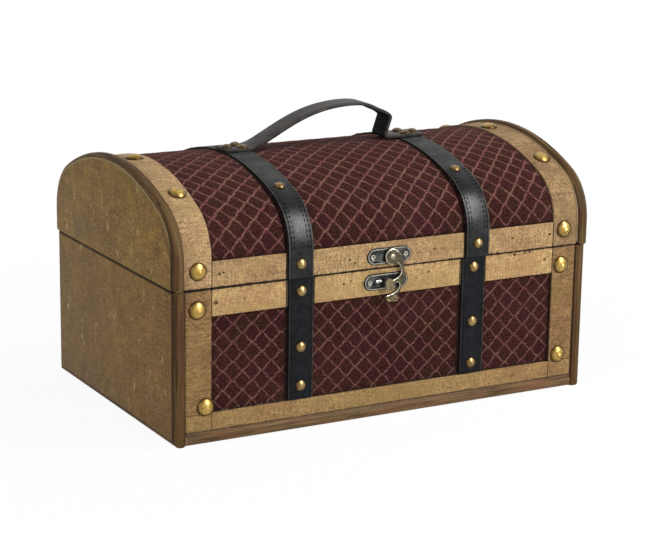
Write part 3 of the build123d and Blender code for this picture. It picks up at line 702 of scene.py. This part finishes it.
nail_brass = nail_finish("nail_brass", (0.52, 0.345, 0.1), (0.3, 0.185, 0.046))
strap_nail_brass = nail_finish("strap_nail_brass", (0.35, 0.245, 0.105), (0.15, 0.096, 0.04), 0.85)
dull_nail_brass = nail_finish("dull_nail_brass", (0.185, 0.155, 0.08), (0.06, 0.048, 0.026), 0.95)
hinge_bronze = metal_finish("hinge_bronze", (0.075, 0.07, 0.058), (0.02, 0.019, 0.018), 0.2, 0.32)
hook_bronze = metal_finish("hook_bronze", (0.112, 0.097, 0.066), (0.042, 0.036, 0.025), 0.3, 0.36)
# Pale bronze: real wear on the hinges' bevels, and a painted highlight on the hook and on top of the keeper's
# post.
wear_and_highlight_bronze = metal_finish("wear_and_highlight_bronze", (0.58, 0.53, 0.4), (0.24, 0.205, 0.14), 0.5, 0.32, 0.47, 0.66)
olive_brass = metal_finish("olive_brass", (0.2, 0.17, 0.095), (0.1, 0.08, 0.045), 0.5, 0.5, 0.45, 0.65)
tab_brass = metal_finish("tab_brass", (0.068, 0.054, 0.028), (0.026, 0.02, 0.011), 0.5, 0.5, 0.42, 0.6)
rivet_metal = metal_finish("rivet_metal", (0.36, 0.325, 0.225), (0.22, 0.19, 0.125), 0.8, 0.5)
screw_steel = metal_finish("screw_steel", (0.56, 0.54, 0.45), (0.25, 0.24, 0.2), 0.8, 0.3)

# %% [markdown]
# The latch's two plates have no bevel to carry a rubbed rim. Their outline is a bar with round ends, so the
# distance inside it is worked out from x and z, and a pale line follows it. Outside the line, at the very
# rim, the plate is painted black as shade.

# %% Plate finish
upper_plate_middle = (-1.0, 105.2)
keeper_middle = (-3.0, 88.8)
half_plate_length = 15.85
half_plate_height = 5.25


def plate_finish(name, middle):
    """Dark plated steel, with a pale line of wear near the rim of a round-ended plate, and painted shade,
    black, at the rim itself.
    """
    plate = Finish(name)
    spot = plate.place()
    x, _, z = plate.split(spot)
    beyond = plate.largest(abs(x - middle[0]) - (half_plate_length - half_plate_height), 0)
    level = z - middle[1]
    inside = half_plate_height - plate.maths("SQRT", beyond * beyond + level * level)
    clouds = plate.noise(spot, 0.22, 4, 0.62).between(0.4, 0.6)
    patina = plate.noise(spot, 0.9, 3, 0.7).between(0.52, 0.64)
    gloss = plate.noise(spot, 0.4, 2).between(0.35, 0.5)
    colour = plate.layers(
        (0.105, 0.112, 0.11),
        (clouds, (0.011, 0.011, 0.012)),
        (patina * 0.5, (0.13, 0.105, 0.06)),
        (inside.band(0.45, 0.6, 0.95, 1.1) * (0.22 + gloss * 0.5), (0.56, 0.53, 0.43)),
        # Painted shade: the very rim of the plate is black.
        (inside.until(0.35, 0.5), (0.004, 0.004, 0.004)),
    )
    return plate.surface(colour, 0.28 + clouds * 0.12, clouds, 0.02, {"Metallic": 1.0})


upper_plate_bronze = plate_finish("upper_plate_bronze", upper_plate_middle)
keeper_bronze = plate_finish("keeper_bronze", keeper_middle)

# %% [markdown]
# ## Soft edges on the hard pieces
# No board or plate has a knife edge: sanding, plating and handling round it, and the thin line of light
# there makes it real. The CAD mesh is loose triangles, so each piece is a copy that is merged, cleared of
# flat seams and bevelled where two faces meet sharply. The holes for nails are hidden and stay sharp. The
# CAD node hides and the copy stands for it.


# %% Soft-edged copies
def shown(bm, name, body, slot, finishes, replaced=(), sharp=35):
    """Makes a bmesh a finished piece that rides on a body."""
    mesh = bpy.data.meshes.new(name)
    bm.to_mesh(mesh)
    bm.free()
    for finish in finishes:
        mesh.materials.append(finish)
    for polygon in mesh.polygons:
        polygon.use_smooth = True
    mesh.set_sharp_from_angle(angle=math.radians(sharp))
    piece = linked(name, mesh)
    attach(piece, body)
    if replaced:
        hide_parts(*replaced)
    print("piece:", name, "with", len(mesh.polygons), "faces")
    return piece


def merged(source, flat_seams=0.3):
    """A bmesh of a CAD node, its triangles joined, and those within flat_seams degrees made one face."""
    bm = bmesh.new()
    bm.from_mesh(source.data)
    bmesh.ops.remove_doubles(bm, verts=bm.verts, dist=0.002 * mm)
    if flat_seams:
        bmesh.ops.dissolve_limit(bm, angle_limit=math.radians(flat_seams), verts=bm.verts, edges=bm.edges)
    return bm


def islands(elements, neighbours):
    """The groups of edges or vertices that hang together."""
    left = set(elements)
    for start in elements:
        if start in left:
            left.remove(start)
            group = [start]
            for element in group:
                joined = [other for other in neighbours(element) if other in left]
                left.difference_update(joined)
                group.extend(joined)
            yield group


def span(points):
    """The largest of the three sizes of the box round some points."""
    return max(max(p[i] for p in points) - min(p[i] for p in points) for i in range(3))


def outline_edges(bm, sharp=35):
    """The sharp edges of the outlines, without those of nail and screw holes."""
    creased = [e for e in bm.edges if e.is_manifold and e.calc_face_angle() > math.radians(sharp)]
    whole = span([vert.co for vert in bm.verts])
    kept = []
    for group in islands(creased, lambda edge: [e for vert in edge.verts for e in vert.link_edges]):
        if span([vert.co for edge in group for vert in edge.verts]) > 0.45 * whole:
            kept.extend(group)
    return kept


def bevel(bm, edges, width, segments):
    """Rounds edges over to a width, and gives the new faces."""
    return bmesh.ops.bevel(
        bm, geom=edges, offset=width, offset_type="OFFSET", affect="EDGES",
        segments=segments, profile=0.5, clamp_overlap=True, material=-1,
    )["faces"]


def soften(node, finishes, width=0.0, segments=2, paint=None):
    """A merged copy of a CAD node, its sharp edges rounded to width mm.

    The last finish goes on the rounded edges, or paint(face) gives the number of each face's finish."""
    source = frame["nodes"][node]
    bm = merged(source)
    if width:
        for face in bevel(bm, outline_edges(bm), width * mm, segments):
            face.material_index = len(finishes) - 1
    bm.normal_update()
    if paint:
        for face in bm.faces:
            face.material_index = paint(face)
    slot = source.material_slots[0].material.name.split(".")[0]
    shown(bm, node + "_piece", source["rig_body"], slot, finishes, [node])


print("edges sharper than 35 degrees are rounded")

# %% [markdown]
# A sanded board is rounded by about a third of a millimetre, a strip a little more. The faces that look
# into the chest were never stained.

# %% Boards and strips
board_round = 0.35
strip_round = 0.45


def bare_inside(face):
    """Number 1, the bare wood, on the faces of a board that look into the chest."""
    spot = face.calc_center_median()
    inner_side = abs(spot.x) < 143.5 * mm and abs(face.normal.x) > 0.9
    inner_bottom = face.normal.z > 0.9 and spot.z < 10 * mm
    return 1 if inner_side or inner_bottom else 0


for side in ("left", "right"):
    soften(f"base_{side}_end_board", [base_board, panel_wood], board_round, paint=bare_inside)
    soften(f"lid_{side}_end_board", [lid_board, panel_wood], board_round, paint=bare_inside)
    for face in ("front", "back"):
        soften(f"base_{face}_{side}_strip", [upright_strip], strip_round)
        soften(f"base_{face}_top_{side}_strip", [level_strip], strip_round)
for face in ("front", "back"):
    soften(f"base_{face}_bottom_strip", [bottom_strip], strip_round)
    soften(f"base_{face}_top_middle_strip", [level_strip], strip_round)
    soften(f"lid_{face}_strip", [lid_strip], strip_round)
    soften(f"base_{face}_wall", [panel_wood])
soften("lid_left_arc_strip", [left_arch_strip], strip_round)
soften("lid_right_arc_strip", [right_arch_strip], strip_round)
soften("base_bottom_board", [bottom_board, panel_wood], board_round, paint=bare_inside)
soften("lid_shell", [panel_wood])

# %% [markdown]
# Leather is softer at its edges and black on its cut sides. The edges of the thin hinge leaves are rounded
# only a little, and rubbed. The slots of the screws are painted black as shade.


# %% Straps, handle and fittings
def cut_sides(face):
    """The cut sides of a strap, which look along the chest, are black."""
    return 1 if abs(face.normal.x) > 0.5 else 0


def flesh_side(face):
    """The flesh side of the handle, which looks at the chest, is black."""
    spot = face.calc_center_median()
    inward = Vector((0, 0, 120 * mm)) - Vector((spot.x, 0, spot.z))
    return 1 if face.normal.dot(inward) > 0.35 * inward.length else 0


def shaded_slot(face):
    """The slot of a screw, whose bottom lies under slot_top, is painted black as shade."""
    return 1 if abs(face.calc_center_median().y) < slot_top else 0


def plate_sides(face):
    """The sides of a plate are painted black as shade. The head of the keeper's post is brass, with a painted
    highlight on its faces that look up.
    """
    if face.calc_center_median().y < -95.5 * mm:
        return 3 if face.normal.z > 0.3 else 2
    return 1 if abs(face.normal.y) < 0.45 else 0


for side in ("left", "right"):
    for face in ("front", "back"):
        soften(f"base_{face}_{side}_strap", [base_strap_leather, black_edge_and_shade], 0.4, 3, cut_sides)
    soften(f"lid_{side}_strap", [lid_strap_leather, black_edge_and_shade], 0.5, 3, cut_sides)
    soften(f"hinge_{side}_base_leaf", [hinge_bronze, wear_and_highlight_bronze], 0.15)
    soften(f"hinge_{side}_lid_leaf", [hinge_bronze, wear_and_highlight_bronze], 0.15)
    soften(f"hinge_{side}_pin", [hinge_bronze, wear_and_highlight_bronze], 0.2)
soften("carry_handle", [handle_leather, black_edge_and_shade], 0.5, 3, flesh_side)
for node in ("hinge_base_screws", "hinge_lid_screws", "keeper_screws", "latch_plate_screws"):
    slot_top = max(abs(corner.y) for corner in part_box(node)) - 0.12 * mm
    soften(node, [screw_steel, painted_shade_black], paint=shaded_slot)
soften("latch_rivet", [rivet_metal])
soften("latch_plate", [upper_plate_bronze, painted_shade_black, olive_brass, wear_and_highlight_bronze], paint=plate_sides)
soften("latch_keeper_plate", [keeper_bronze, painted_shade_black, olive_brass, wear_and_highlight_bronze], paint=plate_sides)

# %% [markdown]
# ## Hook
# The hook is a stamping whose upper edge was tumbled smooth, so a chamfer runs round its face. The face is
# inset, and the outline of what is left is pushed back a little: that slants the ring between them. The left
# and upper parts of the ring and the left side of the tab get a painted highlight, and the sides are painted
# black as shade. The tab below is of duller brass.

# %% Hook with a chamfered face
tab_top = 79.5 * mm
hook_face, hook_highlight, hook_tab, hook_shaded_side = range(4)
hook_finishes = [hook_bronze, wear_and_highlight_bronze, tab_brass, black_edge_and_shade]
source = frame["nodes"]["latch_hook"]
hook = merged(source)
hook.normal_update()
front = [f for f in hook.faces if f.normal.y < -0.99 and f.calc_center_median().z > tab_top]
# Painted shade: every face of the hook starts black, and the sides stay so.
for face in hook.faces:
    face.material_index = hook_shaded_side
ring = bmesh.ops.inset_region(
    hook, faces=front, thickness=0.42 * mm, depth=0, use_even_offset=False, use_boundary=True,
)["faces"]
outline = {vert for face in ring for vert in face.verts} - {vert for face in front for vert in face.verts}
bmesh.ops.translate(hook, verts=list(outline), vec=(0, 0.22 * mm, 0))
hook.normal_update()
for face in front:
    face.material_index = hook_face
# Painted highlight: the ring's faces that look left or up are pale.
for face in ring:
    lit_side = face.normal.x < 0.05 or face.normal.z > 0.25
    face.material_index = hook_highlight if lit_side else hook_face
# The tab is duller brass, with a painted highlight on its faces that look left.
for face in hook.faces:
    if face.calc_center_median().z < tab_top:
        face.material_index = hook_highlight if face.normal.x < -0.6 else hook_tab
shown(hook, "latch_hook_piece", source["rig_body"], "latch_bronze", hook_finishes, ["latch_hook"])

# %% [markdown]
# ## Cloth sheets
# The cloth is glued down, so it lies where the wall and the shell are, a little fuller in the middle of
# each diamond. A grid is the natural start for a sheet: its flat coordinates become the UV map, each point
# is lifted by the fullness there, and the lid's grid is then bent over the arch by arc length, which keeps
# the cells even. The arch has a wide crown between two tight haunches, and straight walls below.

# %% The arch of the lid
haunch_middle_y = 58.0
haunch_middle_z = 114.0
haunch_radius = 36.0
crown_radius = 163.14
crown_middle_z = 0.86


def arch_parts(inset, haunch=haunch_radius, crown=crown_radius, middle=crown_middle_z):
    """The lean of the arch where crown and haunch meet, and the length of each on one side."""
    lean = math.atan2(haunch_middle_y, haunch_middle_z - middle)
    return lean, (crown - inset) * lean, (haunch - inset) * (math.pi / 2 - lean)


def on_arch(run, inset, haunch=haunch_radius, crown=crown_radius, middle=crown_middle_z):
    """The point (y, z) run mm along the arch from its top and inset mm inside, and the way out there."""
    lean, crown_run, haunch_run = arch_parts(inset, haunch, crown, middle)
    side = 1 if run >= 0 else -1
    if abs(run) <= crown_run:
        angle = abs(run) / (crown - inset)
        y = (crown - inset) * math.sin(angle)
        z = middle + (crown - inset) * math.cos(angle)
    else:
        past_crown = abs(run) - crown_run
        angle = min(lean + past_crown / (haunch - inset), math.pi / 2)
        y = haunch_middle_y + (haunch - inset) * math.sin(angle)
        z = haunch_middle_z + (haunch - inset) * math.cos(angle) - max(past_crown - haunch_run, 0)
    return side * y, z, Vector((0, side * math.sin(angle), math.cos(angle)))


print("the arch is", round(crown_middle_z + crown_radius, 1), "mm high")

# %% [markdown]
# The pattern needs a place for each point of the cloth: a column and a row of diamonds. The columns are
# even. The rows lie a little askew, as the real cloth does, and grow longer where it was pulled over the
# arch.

# %% Columns and rows of the pattern
cell_width = 13.31
wall_row = 12.15
wall_start_x, wall_start_z = 10.63, 56.85
wall_skew = (0.0839, -2.85e-4, -1.63e-6)
crown_row, haunch_row = 12.9, 13.35
crown_reach = 64
crown_pull = 0.0085
lid_start_x, lid_start_row = 8.1, 0.371
lid_skew = (0.0919, -3.44e-4, -1.38e-6)


def row_drop(x, slope, bend, twist):
    """How far a row of cells has sunk at x, in mm."""
    return slope * x + bend * x * x + twist * x ** 3


def wall_cells(x, height):
    """Column and row of a point on a wall."""
    return (x - wall_start_x) / cell_width, -(height - wall_start_z + row_drop(x, *wall_skew)) / wall_row


def arch_cells(x, run):
    """Column and row of a point run mm along the arch."""
    down = run - row_drop(x, *lid_skew)
    upper = min(abs(down), crown_reach)
    rows = math.log1p(crown_pull * upper / crown_row) / crown_pull + (abs(down) - upper) / haunch_row
    return (x - lid_start_x) / cell_width, math.copysign(rows, down) - lid_start_row


def fullness(u, v):
    """0 on a thread and 1 in the middle of a cell."""
    rising = abs((u + v) % 1 - 0.5)
    falling = abs((u - v) % 1 - 0.5)
    return math.sin(math.pi * min(1, 2 * min(rising, falling)) / 2)


print("cells are", cell_width, "mm wide and", wall_row, "to", haunch_row, "mm high")

# %% [markdown]
# A sheet is then made in three moves: cut flat, numbered in cells, and laid point by point. Solidify gives
# it its thickness inwards, so the face stays where it was laid.

# %% Sheets of cloth
grid_step = 1.3
puff = 0.24
cloth_thickness = 0.78
dome_inset = 4.5
wall_face_y = 89.5


def cloth_sheet(name, node, body, finish, size, cells_at, lay):
    """A cloth whose flat points lay() puts in place; cells_at() gives each point its place in the pattern."""
    width, length = size
    bm = bmesh.new()
    across, along = round(width / grid_step), round(length / grid_step)
    bmesh.ops.create_grid(bm, x_segments=across, y_segments=along, size=0.5)
    cells = bm.loops.layers.uv.new("cells")
    for face in bm.faces:
        for loop in face.loops:
            loop[cells].uv = cells_at(loop.vert.co.x * width, loop.vert.co.y * length)
    for vert in bm.verts:
        x = vert.co.x * width
        run = vert.co.y * length
        vert.co = lay(x, run, puff * fullness(*cells_at(x, run))) * mm
    piece = shown(bm, name, body, "cloth", [finish], [node])
    depth = piece.modifiers.new("thickness", "SOLIDIFY")
    depth.thickness = cloth_thickness * mm
    depth.offset = -1
    print(name, round(width, 1), "by", round(length, 1), "mm")


def lay_on_arch(x, run, lift):
    y, z, outward = on_arch(-run, dome_inset)
    return Vector((x, y, z)) + outward * lift


low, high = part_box("lid_cover")
half_run = sum(arch_parts(dome_inset)[1:]) + haunch_middle_z - low.z / mm
dome_size = ((high.x - low.x) / mm, 2 * half_run)
cloth_sheet("dome_cloth", "lid_cover", "lid", dome_cloth, dome_size, arch_cells, lay_on_arch)

for face, sign in (("front", -1), ("back", 1)):
    low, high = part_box(f"base_{face}_cover")
    middle_z = (low.z + high.z) / 2 / mm

    def lay_on_wall(x, run, lift, sign=sign, middle_z=middle_z):
        return Vector((-sign * x, sign * (wall_face_y + lift), middle_z + run))

    def cells_on_wall(x, run, middle_z=middle_z):
        return wall_cells(x, middle_z + run)

    size = ((high.x - low.x) / mm, (high.z - low.z) / mm)
    cloth_sheet(f"{face}_cloth", f"base_{face}_cover", "base", wall_cloth, size, cells_on_wall, lay_on_wall)

# %% [markdown]
# ## Nails
# A domed nail is brightest on its crown and darkest where the head meets the wood; that dark rim is a painted
# reflection, as if the edge mirrored a dark room. The finish needs to know how near a point is to the rim,
# whichever way the nail looks, so each nail is found as an island of its mesh and every point is given its
# distance from the nail's middle line.


# %% Nails with their rims marked
def outward_at(y, z):
    """The direction a nail at (y, z) mm looks in: straight out of a wall, or square to the arch."""
    side = 1 if y > 0 else -1
    if z < haunch_middle_z:
        return Vector((0, side, 0))
    if abs(y) > haunch_middle_y:
        return Vector((0, y - side * haunch_middle_y, z - haunch_middle_z)).normalized()
    return Vector((0, y, z - crown_middle_z)).normalized()


def nails(node, finish):
    source = frame["nodes"][node]
    bm = merged(source, flat_seams=None)
    rim = bm.verts.layers.float.new("rim")
    for nail in islands(bm.verts, lambda vert: [edge.other_vert(vert) for edge in vert.link_edges]):
        middle = sum((vert.co for vert in nail), Vector()) / len(nail)
        axis = outward_at(middle.y / mm, middle.z / mm)
        for vert in nail:
            off = vert.co - middle
            vert[rim] = (off - axis * off.dot(axis)).length
        widest = max(vert[rim] for vert in nail)
        for vert in nail:
            vert[rim] /= widest
    shown(bm, node + "_piece", source["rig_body"], "nail_brass", [finish], [node], sharp=50)


for part in ("base", "lid"):
    nails(f"{part}_large_nails", nail_brass)
    nails(f"{part}_strap_nails", strap_nail_brass)
nails("handle_nails", dull_nail_brass)

# %% [markdown]
# ## Keeper tongue
# Behind the slot of the keeper plate shows the bright back of the post's tongue. It is a short flat bar with
# round ends, so a cube is stretched, its upright edges are rounded and its face is crowned by one more bevel.
# A thin black bed behind it closes the slot: painted shade, standing for the dark inside of the slot.


# %% Keeper tongue
def block(bm, size, place):
    """A cube stretched to a size and put in place; gives its vertices."""
    made = bmesh.ops.create_cube(bm, size=1.0)["verts"]
    bmesh.ops.scale(bm, verts=made, vec=size)
    bmesh.ops.translate(bm, verts=made, vec=place)
    return made


bright, tarnished = (0.92, 0.9, 0.83), (0.1, 0.092, 0.08)
tongue_steel = metal_finish("tongue_steel", bright, tarnished, 0.8, 0.25, 0.5, 0.6, 0.1)
tongue_depth = 0.6
tongue = bmesh.new()
block(tongue, (4.5, tongue_depth, 2.0), (0, 0, 0))
upright = [e for e in tongue.edges if abs((e.verts[0].co - e.verts[1].co).y) > 0.5]
bevel(tongue, upright, 0.7, 4)
face_rim = [e for e in tongue.edges if all(vert.co.y < 0.01 - tongue_depth / 2 for vert in e.verts)]
bevel(tongue, face_rim, 0.25, 3)
bmesh.ops.translate(tongue, verts=tongue.verts, vec=(-8.05, -91.9, 88.9))
# Painted shade: a black sheet behind the tongue.
shade_bed = block(tongue, (5.5, 0.2, 3.0), (-8.6, -91.55, 88.8))
for face in tongue.faces:
    face.material_index = 1 if face.verts[0] in shade_bed else 0
bmesh.ops.scale(tongue, verts=tongue.verts, vec=(mm, mm, mm))
shown(tongue, "keeper_tongue", "base", "screw_steel", [tongue_steel, painted_shade_black])

# %% [markdown]
# ## Brad marks
# Small brads hold the strips, their heads stopped with dark putty. Each mark is a low dome, one and a half
# to three millimetres wide: a flattened ball, half sunk in the strip. The lists give (x, z, radius).

# %% Brad marks
strip_face_y = -91.5
putty_height = 0.14
lid_brads = [
    (-29.1, 105.0, 0.9), (-25.5, 102.7, 0.75), (32.8, 105.8, 0.8), (-119.2, 106.0, 1.1), (-116.3, 106.6, 0.8),
    (92.2, 106.6, 0.9), (121.3, 106.4, 1.0),
]
base_brads = [
    (-33.1, 90.0, 0.9), (-28.1, 91.4, 0.75), (28.8, 91.2, 0.8), (-121.6, 88.4, 1.5), (118.1, 89.8, 1.0),
    (94.2, 95.6, 1.2), (102.0, 96.0, 1.0), (106.0, 96.2, 0.9), (-104.5, 96.4, 0.7),
]


def ball(bm, around, up_and_down, half_sizes):
    """A stretched ball at the origin with so many faces around and up and down; gives its vertices."""
    made = bmesh.ops.create_uvsphere(bm, u_segments=around, v_segments=up_and_down, radius=1.0)["verts"]
    bmesh.ops.scale(bm, verts=made, vec=half_sizes)
    return made


def brad_marks(name, body, places):
    bm = bmesh.new()
    for x, z, radius in places:
        mark = ball(bm, 12, 8, (radius * 1.15, putty_height, radius * 0.85))
        bmesh.ops.translate(bm, verts=mark, vec=(x, strip_face_y, z))
    bmesh.ops.scale(bm, verts=bm.verts, vec=(mm, mm, mm))
    shown(bm, name, body, "strip_wood", [dark_putty])


brad_marks("lid_brad_marks", "lid", lid_brads)
brad_marks("base_brad_marks", "base", base_brads)

# %% [markdown]
# ## Stitches
# Two rows of stitches run along each edge of the lid's straps where they go over the haunch. Each stitch is
# a short thread half sunk in the leather: a small ball, stretched along the strap and turned with the arch.
# The strap's underside is an arch of its own, and the stitches lie over it, just under the upper face.

# %% Stitches
strap_underside = {"haunch": 33.5, "crown": 179.67, "middle": -20.17}
stitch_height = 1.86
stitch_start, stitch_step, stitch_count = 66.0, 3.3, 15
stitch_half_sizes = (0.39, 1.1, 0.26)


def stitch_rows(name, middle):
    bm = bmesh.new()
    for across in (-6.6, -4.7, 4.7, 6.6):
        for side in (-1, 1):
            for number in range(stitch_count):
                run = side * (stitch_start + stitch_step * number)
                y, z, outward = on_arch(run, -stitch_height, **strap_underside)
                stitch = ball(bm, 8, 6, stitch_half_sizes)
                turn = Vector((0, 0, 1)).rotation_difference(outward).to_matrix()
                bmesh.ops.rotate(bm, verts=stitch, cent=(0, 0, 0), matrix=turn)
                bmesh.ops.translate(bm, verts=stitch, vec=(middle + across, y, z))
    bmesh.ops.scale(bm, verts=bm.verts, vec=(mm, mm, mm))
    shown(bm, name, "lid", "leather", [stitch_thread])


stitch_rows("left_strap_stitches", -lid_strap_middle)
stitch_rows("right_strap_stitches", lid_strap_middle)
